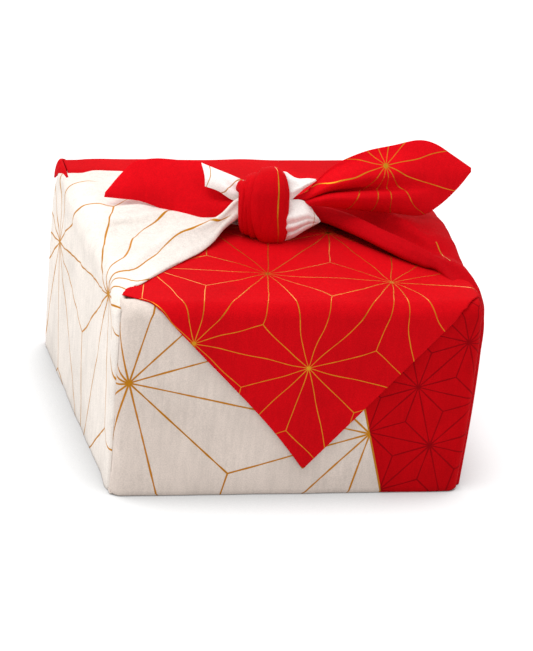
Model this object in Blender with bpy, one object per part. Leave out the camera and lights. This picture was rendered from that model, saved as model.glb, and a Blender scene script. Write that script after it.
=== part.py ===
"""A furoshiki wrap: one square cloth folded round a box and tied on top with a reef knot.

Metres, +Z up. The origin is the middle of the base, and the front is at -Y. The near corner of the
cloth goes up the front and under the far corner, which covers the top and hangs down the front as
a point. The left and right corners then cross the top as two gathered strands and meet in the knot.
"""

import math
from collections import namedtuple

import bpy
import bmesh
from mathutils import Vector

MM = 0.001

Edge = namedtuple("Edge", "base top")
Level = namedtuple("Level", "z inset")
Crease = namedtuple("Crease", "along height")
Fan = namedtuple("Fan", "x front back foot roll valley puff")
Leaf = namedtuple("Leaf", "low_x low_y low_up high_x high_y high_up belly")
Turn = namedtuple("Turn", "x y up wide thick")

# The wrapped box, over the cloth. These sizes and all the tables are in millimetres.
DEPTH = 197.0
HEIGHT = 114.0
CORNER_RADIUS = 5.5
TOP_RADIUS = 8.0
BASE_RADIUS = 1.6
ARC_STEPS = 3

# The loose cloth makes the four upright edges stand out unevenly: distance from the middle plane.
LEFT_FRONT = Edge(97.5, 100.0)
LEFT_BACK = Edge(101.8, 101.8)
RIGHT_FRONT = Edge(98.5, 101.0)
RIGHT_BACK = Edge(101.0, 101.0)
RIGHT_PROUD = 2.2

# The upright tucks, on the left and right faces, close to the four upright edges.
TUCK_INSET = 7.6
TUCK_HALF_WIDTH = 1.8
TUCK_DEPTH = 2.4

# The soft upright folds of the left and right faces.
SWELL = 0.9
SWELL_FOLDS = 3.2
SWELL_SLANT = 0.15

# The point of the far corner that hangs down the front.
FLAP_PROUD = 1.6
FLAP_ROOT = 3.0
FLAP_TIP_X = 6.5
FLAP_TIP_Z = 17.0
FLAP_RIDGE_LEFT = -80.0
FLAP_RIDGE_RIGHT = 89.7

FLAP_WAVE = 0.35
FLAP_COLUMNS = 9

# The thickness of a free end's sheet, and how far the strands' solids reach down into the box.
CLOTH = 2.2
SUNK = 6.0

# Each strand from the edge of the box to the knot: where its front and back edges lie, and how
# high its foot, its rolled front edge, the valley behind that and the soft part stand over the top.
LEFT_FAN = (
    Fan(-99.5, -84.0, 86.0, -5.0, -4.6, -4.6, -4.6),
    Fan(-94.5, -79.0, 86.0, -0.6, 2.2, 1.5, 1.4),
    Fan(-82.0, -66.0, 86.0, -0.6, 3.8, 1.8, 3.0),
    Fan(-68.0, -51.0, 84.0, -0.6, 5.4, 2.0, 4.4),
    Fan(-54.0, -37.0, 74.0, -0.6, 7.0, 2.4, 5.6),
    Fan(-41.0, -25.0, 52.0, 0.0, 9.0, 3.6, 6.8),
    Fan(-30.0, -15.0, 28.0, 1.0, 11.5, 6.0, 8.6),
    Fan(-20.0, -9.0, 12.0, 2.0, 14.5, 10.0, 11.0),
    Fan(-10.0, -6.0, 8.0, 3.0, 16.0, 13.0, 12.0),
)
RIGHT_FAN = (
    Fan(101.5, -74.0, 86.0, -5.0, -4.6, -4.6, -4.0),
    Fan(97.0, -69.0, 86.0, -0.6, 2.8, 1.4, 5.2),
    Fan(84.0, -57.0, 84.0, -0.6, 5.6, 2.4, 8.0),
    Fan(70.0, -46.0, 72.0, -0.6, 8.2, 3.8, 9.4),
    Fan(57.0, -29.0, 54.0, 0.4, 9.6, 5.2, 10.4),
    Fan(44.0, -14.0, 36.0, 1.6, 11.0, 7.0, 11.2),
    Fan(32.0, -6.0, 20.0, 2.6, 12.6, 9.6, 12.0),
    Fan(20.0, -5.0, 11.0, 4.0, 14.0, 12.0, 13.0),
    Fan(10.0, -4.0, 8.0, 5.0, 14.0, 13.0, 13.0),
)
ROLL_WIDTH = 13.0
ROLL_SHAPE = (Crease(0.0, 0.0), Crease(0.06, 0.6), Crease(0.25, 0.93), Crease(0.48, 1.0))
PLEATS = (0.12, 0.25, 0.38, 0.5, 0.62, 0.75, 0.87)
PLEAT_WAVES = 3.5
PLEAT_HEIGHT = 0.9
FAN_STEPS = 22

# Each free end from the knot to its tip: its low edge, its high edge, and how far the middle of
# the leaf stands in front of the straight line between them. Here and below, up is over the top.
LEFT_TAIL = (
    Leaf(-12.0, 2.0, 15.0, -10.0, 6.0, 26.0, 2.0),
    Leaf(-20.0, 7.0, 12.5, -18.0, 11.0, 26.5, 3.0),
    Leaf(-29.0, 11.5, 8.5, -26.0, 21.0, 28.0, 4.0),
    Leaf(-38.0, 11.5, 7.5, -34.5, 31.0, 29.0, 5.5),
    Leaf(-48.0, 16.0, 7.5, -46.0, 34.0, 29.0, 5.5),
    Leaf(-58.0, 21.5, 8.0, -60.0, 35.0, 29.5, 4.5),
    Leaf(-69.0, 23.0, 8.5, -71.5, 35.5, 27.0, 3.0),
    Leaf(-80.0, 24.0, 9.5, -79.0, 34.0, 20.5, 1.5),
    Leaf(-89.5, 24.0, 10.5, -88.8, 25.5, 13.0, 0.0),
)
RIGHT_TAIL = (
    Leaf(8.0, -3.0, 16.0, 7.0, -1.0, 25.0, 1.0),
    Leaf(18.0, -5.0, 17.5, 18.0, -3.0, 27.0, 2.5),
    Leaf(28.0, -4.5, 18.0, 28.5, 1.0, 32.0, 4.0),
    Leaf(41.0, -4.0, 17.0, 40.5, 6.5, 38.5, 6.0),
    Leaf(56.0, -3.0, 14.5, 55.0, 9.0, 45.5, 7.0),
    Leaf(71.0, -2.0, 13.0, 70.5, 10.0, 48.5, 6.5),
    Leaf(85.0, -1.0, 11.5, 85.0, 10.5, 52.0, 5.0),
    Leaf(98.0, 1.0, 19.5, 98.0, 9.0, 45.5, 2.5),
    Leaf(112.5, 4.0, 35.0, 113.0, 4.5, 38.0, 0.0),
)
TAIL_STEPS = 20
TAIL_RIBS = 9
TAIL_FOLD = 2.6
TAIL_LEAN = 0.35

# The knot: the band of the right strand in front, the band of the left strand at the back, the two
# legs of the left strand that the first binds, and the legs of the right strand at the core.
FRONT_BAND = (
    Turn(-4.0, 11.0, 29.0, 9.0, 4.2),
    Turn(-6.0, 3.0, 35.0, 11.0, 4.2),
    Turn(-7.0, -6.5, 33.5, 13.5, 4.4),
    Turn(-7.0, -12.5, 25.5, 14.4, 4.6),
    Turn(-6.5, -14.5, 15.0, 14.2, 5.0),
    Turn(-4.5, -14.0, 5.5, 12.0, 5.0),
    Turn(-2.5, -6.0, 1.0, 9.5, 4.6),
    Turn(-2.0, 4.0, 1.5, 8.0, 4.4),
)
BACK_BAND = (
    Turn(10.0, -8.0, 29.5, 7.0, 4.0),
    Turn(13.0, -2.0, 32.0, 9.5, 4.4),
    Turn(13.0, 6.5, 31.0, 12.0, 4.6),
    Turn(12.0, 12.0, 23.0, 13.0, 4.8),
    Turn(12.0, 12.5, 14.0, 13.0, 4.8),
    Turn(13.0, 7.0, 5.5, 12.0, 4.8),
    Turn(15.0, -2.0, 4.5, 10.5, 4.8),
    Turn(12.0, -9.0, 6.5, 8.0, 4.4),
)
UPPER_LEG = (
    Turn(-30.0, 12.0, 22.0, 5.0, 5.0),
    Turn(-20.0, 4.0, 24.0, 7.0, 6.5),
    Turn(-6.0, -2.0, 25.0, 8.5, 8.0),
    Turn(8.0, -1.0, 26.0, 9.0, 8.0),
    Turn(17.0, 0.0, 27.0, 8.0, 6.5),
    Turn(25.0, 0.0, 28.5, 4.0, 3.0),
)
LOWER_LEG = (
    Turn(-24.0, -5.0, 9.0, 6.0, 6.0),
    Turn(-14.0, -4.0, 11.0, 8.5, 8.0),
    Turn(0.0, -3.0, 10.5, 9.5, 9.0),
    Turn(12.0, -4.0, 8.5, 9.0, 8.5),
    Turn(20.0, -5.0, 7.5, 8.0, 6.5),
    Turn(26.0, -5.0, 9.0, 4.5, 3.5),
)
CORE = (
    Turn(-20.0, 1.0, 17.0, 9.0, 7.0),
    Turn(-8.0, 1.0, 17.0, 15.0, 12.0),
    Turn(6.0, 2.0, 17.0, 15.0, 12.5),
    Turn(18.0, 1.0, 17.0, 14.0, 11.0),
    Turn(28.0, -2.0, 17.0, 8.0, 7.0),
)
SWEEP_STEPS = 16
SWEEP_SIDES = 12


def clear_scene():
    for old in list(bpy.data.objects):
        bpy.data.objects.remove(old, do_unlink=True)


def cotton(name, colour):
    """A plain matt cotton of one colour."""
    material = bpy.data.materials.new(name)
    material.use_nodes = True
    shader = material.node_tree.nodes["Principled BSDF"]
    shader.inputs["Base Color"].default_value = (*colour, 1.0)
    shader.inputs["Roughness"].default_value = 0.85
    shader.inputs["Metallic"].default_value = 0.0
    material.diffuse_color = (*colour, 1.0)
    return material


def solid(name, rings, material, poles=False):
    """A closed mesh through rings of points with equal counts, the first and last ring capped."""
    shape = bmesh.new()
    rows = [[shape.verts.new(Vector(point) * MM) for point in ring] for ring in rings]
    count = len(rows[0])
    for near, far in zip(rows, rows[1:]):
        for i in range(count):
            j = (i + 1) % count
            shape.faces.new((near[i], near[j], far[j], far[i]))
    for cap in (rows[0], rows[-1]):
        if poles:
            middle = sum((v.co for v in cap), Vector()) / count
            pole = shape.verts.new(middle)
            for i in range(count):
                shape.faces.new((cap[i], cap[(i + 1) % count], pole))
        else:
            shape.faces.new(cap)
    bmesh.ops.recalc_face_normals(shape, faces=shape.faces)
    mesh = bpy.data.meshes.new(name)
    shape.to_mesh(mesh)
    shape.free()
    mesh.materials.append(material)
    piece = bpy.data.objects.new(name, mesh)
    bpy.context.scene.collection.objects.link(piece)
    return piece


def curve_through(rows, t):
    """The row at t from 0 to 1 on a smooth curve through the rows of a table."""
    place = t * (len(rows) - 1)
    i = min(int(place), len(rows) - 2)
    f = place - i
    before, start, end, after = (rows[min(max(k, 0), len(rows) - 1)] for k in (i - 1, i, i + 1, i + 2))
    values = []
    for a, b, c, d in zip(before, start, end, after):
        bend = 2 * a - 5 * b + 4 * c - d
        twist = 3 * (b - c) + d - a
        values.append(0.5 * (2 * b + (c - a) * f + bend * f * f + twist * f**3))
    return type(start)(*values)


def smooth_rows(rows, steps):
    return [curve_through(rows, k / (steps - 1)) for k in range(steps)]


def arc(centre_x, centre_y, radius, start):
    """Points of a quarter circle from the angle start, in degrees, anticlockwise."""
    angles = [math.radians(start + 90.0 * k / ARC_STEPS) for k in range(ARC_STEPS + 1)]
    return [(centre_x + radius * math.cos(a), centre_y + radius * math.sin(a)) for a in angles]


def side_stations(half_depth):
    """Places along a left or right face, front to back, with three for each tuck."""
    tuck = half_depth - TUCK_INSET
    edge, core = TUCK_HALF_WIDTH, 0.8 * TUCK_HALF_WIDTH
    middle = [-0.72, -0.5, -0.25, 0.0, 0.25, 0.5, 0.72]
    return (
        [-tuck - edge, -tuck, -tuck + core]
        + [half_depth * m for m in middle]
        + [tuck - core, tuck, tuck + edge]
    )


def tuck_depth(y, half_depth):
    gap = abs(abs(y) - (half_depth - TUCK_INSET))
    return TUCK_DEPTH * max(0.0, 1.0 - gap / TUCK_HALF_WIDTH)


def side_swell(y, z):
    """How far the loose cloth of a left or right face stands out in its soft upright folds."""
    along = y / DEPTH
    up = z / HEIGHT
    fold = math.cos(2 * math.pi * (SWELL_FOLDS * along + SWELL_SLANT * up))
    flat_edges = max(0.0, 1.0 - (2 * along) ** 4)
    return SWELL * fold * flat_edges * (0.35 + 0.65 * up)


def reach(edge, z):
    return edge.base + (edge.top - edge.base) * z / HEIGHT


def body_ring(level):
    """The outline of the wrapped box at one height, anticlockwise from the front left edge."""
    z, inset = level
    left_front = reach(LEFT_FRONT, z) - inset
    left_back = reach(LEFT_BACK, z) - inset
    right_front = reach(RIGHT_FRONT, z) - inset
    right_back = reach(RIGHT_BACK, z) - inset
    half = DEPTH / 2 - inset
    radius = max(CORNER_RADIUS - 0.6 * inset, 1.0)
    fade = 1.0 - min(inset / TOP_RADIUS, 1.0)
    spread = [k / 4 - 1 for k in range(1, 8)]
    points = arc(-left_front + radius, -half + radius, radius, 180)
    points += [(f * (left_front if f < 0 else right_front), -half) for f in spread]
    points += arc(right_front - radius, -half + radius, radius, 270)
    for y in side_stations(half):
        share = 0.5 + 0.5 * y / half
        flat = right_front + (right_back - right_front) * share
        proud = RIGHT_PROUD * min(max((y + half - TUCK_INSET) / TUCK_HALF_WIDTH, 0.0), 1.0 - share)
        points.append((flat + proud - fade * (tuck_depth(y, half) - side_swell(y, z)), y))
    points += arc(right_back - radius, half - radius, radius, 0)
    points += [(-f * (right_back if f < 0 else left_back), half) for f in spread]
    points += arc(-left_back + radius, half - radius, radius, 90)
    for y in reversed(side_stations(half)):
        flat = left_front + (left_back - left_front) * (0.5 + 0.5 * y / half)
        points.append((-flat + fade * (tuck_depth(y, half) - side_swell(y, z)), y))
    return [(x, y, z) for x, y in points]


def body_levels():
    """Heights from the base to the top, with the inset that rounds the edge at both ends."""
    levels = []
    for angle in (0, 45, 90):
        a = math.radians(angle)
        levels.append(Level(BASE_RADIUS * (1 - math.cos(a)), BASE_RADIUS * (1 - math.sin(a))))
    levels += [Level(HEIGHT * part, 0.0) for part in (0.2, 0.4, 0.6, 0.8)]
    start = HEIGHT - TOP_RADIUS
    for angle in (0, 25, 50, 72, 90):
        a = math.radians(angle)
        levels.append(Level(start + TOP_RADIUS * math.sin(a), TOP_RADIUS * (1 - math.cos(a))))
    return levels


def wrapped_box(material):
    return solid("wrapped_box", [body_ring(level) for level in body_levels()], material)


def front_profile():
    """Points and outward normals down the middle of the flap: over the front edge, then down."""
    y_flat = -DEPTH / 2 + TOP_RADIUS
    z_round = HEIGHT - TOP_RADIUS
    rows = []
    for a in (75, 50, 25, 0):
        turn = math.radians(a)
        normal = (-math.cos(turn), math.sin(turn))
        rows.append((y_flat + TOP_RADIUS * normal[0], z_round + TOP_RADIUS * normal[1], normal))
    drop = z_round - FLAP_TIP_Z
    for part in (0.15, 0.3, 0.45, 0.6, 0.75, 0.9, 0.985):
        rows.append((-DEPTH / 2, z_round - drop * part, (-1.0, 0.0)))
    return rows


def flap(material):
    """The hanging point, a thin sheet against the front that widens up to the front top edge."""
    rings = []
    shares = [i / (FLAP_COLUMNS - 1) for i in range(FLAP_COLUMNS)]
    for k, (y, z, (ny, nz)) in enumerate(front_profile()):
        up = (z - FLAP_TIP_Z) / (HEIGHT - FLAP_TIP_Z)
        left = FLAP_TIP_X + (FLAP_RIDGE_LEFT - FLAP_TIP_X) * up
        right = FLAP_TIP_X + (FLAP_RIDGE_RIGHT - FLAP_TIP_X) * up
        # The flap leaves the top flush, a little below it, and stands proud down the front.
        proud = FLAP_PROUD * min(k / 3.0, 1.0) - FLAP_PROUD / 2 * (k == 0)
        outer = []
        inner = []
        for share in shares:
            x = left + (right - left) * share
            out = proud + FLAP_WAVE * math.sin(4 * math.pi * share + 1.5 * up)
            outer.append((x, y + ny * out, z + nz * out))
            inner.append((x, y - ny * FLAP_ROOT, z - nz * FLAP_ROOT))
        rings.append(outer + inner[::-1])
    return solid("flap", rings, material)


def pleat(row, share):
    """The height of a strand's soft part at a share of the way back from its valley."""
    swell = math.sin(math.pi * min(0.12 + 0.95 * share, 1.0))
    wave = PLEAT_HEIGHT * math.sin(2 * math.pi * PLEAT_WAVES * share) if row.puff > 0 else 0.0
    height = row.valley * (1 - share) + (row.puff - 0.5 * row.valley) * swell + wave
    return max(height, min(row.puff, 1.0))


def fan_ring(row):
    """One section of a strand: a rolled front edge, a valley, a soft pleated part, a thin back."""
    roll = min(ROLL_WIDTH, 0.45 * (row.back - row.front))
    rest = row.back - row.front - roll
    rise = row.roll - row.foot
    top = [(row.front + c.along * roll, row.foot + c.height * rise) for c in ROLL_SHAPE]
    top.append((row.front + 0.78 * roll, 0.6 * row.roll + 0.4 * row.valley))
    top.append((row.front + roll, row.valley))
    top += [(row.front + roll + rest * share, pleat(row, share)) for share in PLEATS]
    top.append((row.back - 1.0, min(row.puff, 1.2)))
    top.append((row.back, row.foot))
    section = [(row.x, y, HEIGHT + up) for y, up in top]
    return section + [(row.x, y, HEIGHT - SUNK) for y in (row.back, row.front)]


def fan(name, rows, material):
    return solid(name, [fan_ring(row) for row in smooth_rows(rows, FAN_STEPS)], material)


def leaf_grid(rows):
    """Points over a free end: ribs from its low to its high edge, with two long soft folds."""
    grid = []
    for k, row in enumerate(smooth_rows(rows, TAIL_STEPS)):
        low = Vector((row.low_x, row.low_y, HEIGHT + row.low_up))
        high = Vector((row.high_x, row.high_y, HEIGHT + row.high_up))
        depth = TAIL_FOLD * min((high - low).length / 30.0, 1.0)
        depth *= math.cos(0.5 * math.pi * k / TAIL_STEPS)
        rib = []
        for i in range(TAIL_RIBS):
            share = i / (TAIL_RIBS - 1)
            forward = row.belly * math.sin(math.pi * share) + depth * math.sin(3 * math.pi * share)
            rib.append(low.lerp(high, share) + Vector((0.0, -forward, TAIL_LEAN * forward)))
        grid.append(rib)
    return grid


def grid_normal(grid, k, i):
    along = grid[min(k + 1, len(grid) - 1)][i] - grid[max(k - 1, 0)][i]
    up = grid[k][min(i + 1, len(grid[0]) - 1)] - grid[k][max(i - 1, 0)]
    return along.cross(up).normalized()


def leaf(name, rows, material):
    """A free end of the cloth as a thin closed sheet."""
    grid = leaf_grid(rows)
    half = CLOTH / 2
    rings = []
    for k, rib in enumerate(grid):
        normals = [grid_normal(grid, k, i) for i in range(len(rib))]
        front = [p + n * half for p, n in zip(rib, normals)]
        back = [p - n * half for p, n in zip(rib, normals)]
        rings.append(front + back[::-1])
    return solid(name, rings, material)


def sweep(name, rows, side, material):
    """A gathered band through a table of turns: wide along side, and thick across it."""
    stations = smooth_rows(rows, SWEEP_STEPS)
    centres = [Vector((row.x, row.y, HEIGHT + row.up)) for row in stations]
    rings = []
    for k, row in enumerate(stations):
        along = centres[min(k + 1, len(centres) - 1)] - centres[max(k - 1, 0)]
        wide = (side - along.normalized() * side.dot(along.normalized())).normalized()
        thick = along.cross(wide).normalized()
        ring = []
        for i in range(SWEEP_SIDES):
            turn = 2 * math.pi * i / SWEEP_SIDES
            ring.append(
                centres[k] + wide * (row.wide * math.cos(turn)) + thick * (row.thick * math.sin(turn))
            )
        rings.append(ring)
    return solid(name, rings, material, poles=True)


def fuse(whole, pieces):
    """Joins the pieces to the whole with Boolean unions, and keeps each as a hidden guide."""
    for piece in pieces:
        union = whole.modifiers.new("join_" + piece.name, "BOOLEAN")
        union.operation = "UNION"
        union.solver = "EXACT"
        union.material_mode = "TRANSFER"
        union.object = piece
        piece.hide_render = True
        piece.display_type = "WIRE"
    whole.name = "cloth"


def main():
    clear_scene()
    white = cotton("white_cotton", (0.86, 0.83, 0.80))
    red = cotton("red_cotton", (0.62, 0.01, 0.02))
    upright = Vector((0.0, 0.0, 1.0))
    across = Vector((1.0, 0.0, 0.0))
    pieces = [
        flap(red),
        fan("left_strand", LEFT_FAN, white),
        fan("right_strand", RIGHT_FAN, red),
        leaf("left_tail", LEFT_TAIL, red),
        leaf("right_tail", RIGHT_TAIL, red),
        sweep("upper_leg", UPPER_LEG, upright, white),
        sweep("lower_leg", LOWER_LEG, upright, white),
        sweep("core", CORE, upright, red),
        sweep("front_band", FRONT_BAND, across, red),
        sweep("back_band", BACK_BAND, across, white),
    ]
    fuse(wrapped_box(red), pieces)


main()
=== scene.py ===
"""The looks of a furoshiki wrap: one square cloth folded round a box and tied on top.

The cloth is built as fine sheets in the frame's own place: the near corner up the front, the far
corner over the top with its point down the front, the left and right corners that run over the top
as gathered strands, the knot, and the two free ends. Lengths in the tables are millimetres.
"""

import math
from collections import namedtuple

import bpy
import numpy as np
from mathutils import Matrix, Vector


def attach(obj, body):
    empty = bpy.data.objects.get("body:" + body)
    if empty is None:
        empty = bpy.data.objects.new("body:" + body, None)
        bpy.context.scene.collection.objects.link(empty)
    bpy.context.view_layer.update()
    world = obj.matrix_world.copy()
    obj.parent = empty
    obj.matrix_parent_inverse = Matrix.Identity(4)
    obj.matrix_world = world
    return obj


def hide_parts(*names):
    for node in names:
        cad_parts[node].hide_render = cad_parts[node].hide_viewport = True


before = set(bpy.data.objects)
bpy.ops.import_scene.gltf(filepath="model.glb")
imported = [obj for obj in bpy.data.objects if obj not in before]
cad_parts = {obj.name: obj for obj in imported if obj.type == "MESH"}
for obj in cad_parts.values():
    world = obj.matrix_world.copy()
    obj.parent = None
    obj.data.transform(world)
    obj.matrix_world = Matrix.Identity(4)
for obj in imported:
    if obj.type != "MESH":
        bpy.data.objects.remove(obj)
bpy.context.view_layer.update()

MM = 0.001
NODE = "cloth"

# The wrapped box, as in the solids: its sizes, the radii of its edges, the height at which they
# start to turn over, and how far the upright tucks stand in from the front and the back.
HALF_DEPTH = 98.5
HEIGHT = 114.0
RIDGE = 8.0
SHOULDER = HEIGHT - RIDGE
BACK_RIDGE = 3.0
CORNER = 5.5
TUCK = 7.6
BACK_TUCK = 4.0

# How far the side faces stand from the middle plane at each upright edge: at the foot, at the top.
LEFT_FRONT = (97.5, 100.0)
LEFT_BACK = (101.8, 101.8)
RIGHT_FRONT = (98.5, 101.0)
RIGHT_BACK = (101.0, 101.0)

# Slack cloth: on the right face at its front edge and at half its height, and on top at the back.
RIGHT_PROUD = 2.2
RIGHT_FULL = 1.2
BACK_RISE = 2.2
THICKNESS = 0.5

# The far corner: its edges on top, and its point down the front, whose left edge bows in.
TOP_LEFT = -98.0
TOP_RIGHT = 101.8
POINT_LEFT = -80.0
POINT_RIGHT = 89.7
POINT_BOW = 3.0
TIP = (6.5, 17.0)
TIP_LEFT = TIP[0] + 0.6
TIP_RIGHT = TIP[0] + 1.6

Wave = namedtuple("Wave", "size along across phase")
Strand = namedtuple("Strand", "x front foot crest crest_up valley valley_up puff puff_up back")
Leaf = namedtuple("Leaf", "low_x low_y low_up high_x high_y high_up belly")
Turn = namedtuple("Turn", "x y up wide thick")
Lattice = namedtuple("Lattice", "origin turn pitch")
Print = namedtuple("Print", "lattice width star ink shine side", defaults=(0.3, 0))
Lay = namedtuple("Lay", "cloth share forward")
Hem = namedtuple("Hem", "y crease_up hem_x hem_up inward back")


def table(kind, *rows):
    """Rows of numbers with the names of their columns."""
    return [kind(*row) for row in rows]


# The gathered strands, from the side faces to the knot. At each x: the y of the front edge, the
# crest, the valley, the puff and the back edge, and how high over the box the first four lie.
LEFT_STRAND = table(
    Strand,
    (-86, -71, 0.2, -50, 3.6, -12, 1.6, 9, 5, 84.5),
    (-76, -60.5, 0.2, -38, 4.8, -9, 1.8, 11, 5.8, 84),
    (-66, -50.5, 0.2, -28, 6.4, -6, 2.4, 13.5, 6.4, 82),
    (-54, -39, 0.2, -18, 8.2, -1.5, 3, 15, 5.8, 72),
    (-44, -29.5, 0.5, -13.5, 8.2, 0.5, 3.2, 13.5, 4.8, 56),
    (-35, -19.5, 2.4, -9, 9.4, 1.5, 4, 10.5, 4.4, 36),
    (-27, -9.5, 6.2, -4.8, 12.8, 3, 7.2, 8, 6, 19),
    (-20, -6.5, 10.4, -2.5, 19.6, 2.5, 15, 5.5, 11.6, 11),
    (-12, -5, 14, -3, 23.5, 1, 20, 4, 17, 8),
)
RIGHT_STRAND = table(
    Strand,
    (86, -57.5, 0.3, -50, 5.6, -38, 2.8, -20, 7.8, 86),
    (78, -50, 0.6, -41.5, 7.8, -26, 2.2, -8, 10, 84),
    (69, -43, 1.6, -33, 9.8, -15, 1.8, 3, 11.6, 76),
    (60, -35, 3.6, -24.5, 11.2, -6, 1.8, 10, 12.6, 64),
    (51, -24, 4.8, -13, 12.2, 1, 1.8, 14, 11, 50),
    (42, -10.5, 4.8, -2.5, 12.6, 5.5, 2, 15, 9.5, 36),
    (33, -1.5, 5.6, 3.8, 12.8, 9, 3, 15, 9, 25),
    (24, -1, 7.6, 3, 14, 7, 6.5, 10.5, 10, 17),
    (12, -3, 8, -1, 15, 3, 13, 6, 13.5, 10),
)

# The two free ends, from the knot to their tips, and the white sliver of cloth beside the left
# one: where the lower and the upper edge lie, and how far the cloth between them stands forward.
# Heights here and in the knot's tables are over the box.
LEFT_TAIL = table(
    Leaf,
    (-12, 2, 15, -10, 6, 26, 2),
    (-20, 6, 9, -18, 11, 26.5, 3),
    (-29, 8, 2.4, -26, 21, 28, 4),
    (-38, 8, 2.6, -34.5, 31, 29, 5.5),
    (-48, 12, 4.4, -46, 34, 29, 5.5),
    (-58, 18, 6.2, -60, 35, 29.5, 4.5),
    (-69, 23, 8.5, -71.5, 35.5, 27, 3),
    (-80, 24, 9.5, -79, 34, 20.5, 1.5),
    (-89.5, 24, 10.5, -88.8, 25.5, 13, 0),
)
RIGHT_TAIL = table(
    Leaf,
    (8, -3, 18.5, 8, -3, 20.5, 0.2),
    (18.5, -4.5, 18.2, 18, -3, 25.5, 1.2),
    (25, -4.5, 18.2, 24.5, -1, 31.3, 2.2),
    (32, -4.2, 17.8, 31.5, 2, 37, 3.6),
    (42, -4, 16.4, 41, 5.5, 41.5, 5.2),
    (56, -3, 14.6, 55, 9, 45.6, 6.6),
    (71, -2, 13, 70, 10, 48.6, 6.5),
    (87, -1, 11, 84, 10.5, 51.6, 5.2),
    (97.8, 0.5, 16.5, 94.2, 10, 49.6, 3.8),
    (107.8, 2, 26.5, 104.6, 7.5, 43.6, 2),
    (114.8, 4, 35.6, 114.9, 4.5, 37.4, 0),
)
FACE_SLIVER = table(
    Leaf,
    (-9, 0.5, 20, -8, 4, 27.5, 1),
    (-15, 2.5, 17, -15, 7, 28.5, 2),
    (-22, 3, 18.5, -21.5, 11, 30, 2.5),
    (-29, 6.5, 22, -28, 16, 31, 3),
    (-36, 9.5, 23.5, -36, 23, 32, 3),
)

# How a free end's cloth lies across its width where it is gathered, between its edges: the share
# of the width at which each part of the cloth lies, and how far forward it stands, in the same.
RIGHT_LAY = table(
    Lay,
    (0.08, 0.04, 0.14), (0.17, 0.14, 0.24),
    (0.25, 0.26, 0.24), (0.30, 0.34, 0.12),
    (0.35, 0.33, -0.14), (0.42, 0.36, -0.20),
    (0.50, 0.44, -0.02), (0.58, 0.55, 0.18),
    (0.70, 0.73, 0.14), (0.85, 0.89, -0.02),
)
LEFT_LAY = table(
    Lay,
    (0.12, 0.12, 0.10), (0.26, 0.30, 0.14),
    (0.38, 0.44, 0.06), (0.46, 0.45, -0.04),
    (0.56, 0.53, -0.08), (0.75, 0.76, 0.02),
)

# The knot: the red strand's band in front, in three folds, the white strand's band at the back,
# and the two white bights that the front band binds. A turn has half its width and thickness.
BAND_RIGHT = table(
    Turn,
    (-0.4, 9, 28, 5.5, 3.5),
    (-1.4, 2, 34, 6.6, 4.4),
    (-2.4, -6, 35.8, 8.2, 4.6),
    (-3.6, -12.2, 31.6, 10.2, 4.8),
    (-4.2, -14.6, 24, 10.9, 5),
    (-3.4, -15.4, 14, 10.2, 5.2),
    (-1.2, -15, 5.6, 8.6, 4.8),
    (0.6, -10, 1, 7, 4.2),
    (1.2, 1, 1.4, 6, 4),
)
BAND_LEFT = table(
    Turn,
    (-7, 8, 27, 6, 3.6),
    (-8.4, 1.5, 31.2, 6.6, 4),
    (-10, -5, 31.6, 7.2, 4.2),
    (-11.6, -9.8, 28, 7.2, 4.4),
    (-12.4, -11.6, 21.5, 6.8, 4.4),
    (-11.6, -11.6, 13.5, 6.4, 4.4),
    (-9.6, -10.2, 6.6, 6, 4.4),
    (-6.4, -5.4, 2.2, 5.6, 4),
    (-4, 2, 2, 6, 4),
)
BAND_FOLD = table(
    Turn,
    (-15, 4, 25, 4.5, 3.5),
    (-16.2, -2, 28.8, 4.2, 3.6),
    (-17.2, -7.5, 28.4, 3.4, 3.8),
    (-17.8, -10.6, 21.5, 3, 4),
    (-17, -10.8, 13.5, 3.2, 4),
    (-14.6, -9, 7, 4, 3.9),
    (-10, -3, 3, 4.5, 3.4),
)
BACK_BAND = table(
    Turn,
    (2, -6, 27, 5, 3.6),
    (1, 0, 30, 7, 4.2),
    (0, 7.5, 28, 9.5, 4.6),
    (-1, 12, 20, 10.5, 4.8),
    (-1, 12, 12, 10, 4.8),
    (0, 7, 5.5, 8.5, 4.6),
    (2, -2, 5, 7, 4.4),
    (3, -8, 7, 5, 4),
)
UPPER_BIGHT = table(
    Leaf,
    (-4, -4, 18, -4, -1, 37, 1),
    (5.4, -8, 20, 5.4, -2, 37.3, 2.4),
    (8.1, -8, 21.8, 8.1, -2, 35.8, 3.4),
    (10.7, -7, 24.1, 10.9, -2, 34, 3.6),
    (13.6, -6, 26.4, 13.8, -2, 32.9, 3),
    (16.5, -5, 28.7, 16.7, -2, 32.9, 2),
    (19.4, -4, 30.1, 19.5, -2, 33.1, 1),
    (24, -2, 32.4, 23.9, -2, 32.7, 0),
)
LOWER_BIGHT = table(
    Leaf,
    (-4, -6, 0.5, -4, -5, 23.5, 5),
    (5.2, -12, 0.2, 3.8, -8, 23.4, 6),
    (7.7, -13, 1.2, 6.7, -8, 23.2, 6.4),
    (11, -13, 2.5, 10.2, -8, 23, 6.4),
    (15, -12, 4.6, 14.4, -7, 22.4, 6),
    (18.7, -10, 6, 18.2, -6, 20.8, 5.2),
    (22, -8, 6.8, 21.7, -5, 17, 4),
    (25.5, -5, 7.1, 25.2, -4, 12.1, 2.4),
    (28.6, -3, 7.7, 28.5, -3, 8.2, 0),
)
UPPER_LAY = table(
    Lay,
    (0.16, 0.14, 0.02), (0.30, 0.30, 0.10),
    (0.36, 0.38, 0.12), (0.44, 0.44, 0.04),
    (0.60, 0.60, -0.02), (0.80, 0.82, 0.03),
)
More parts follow.
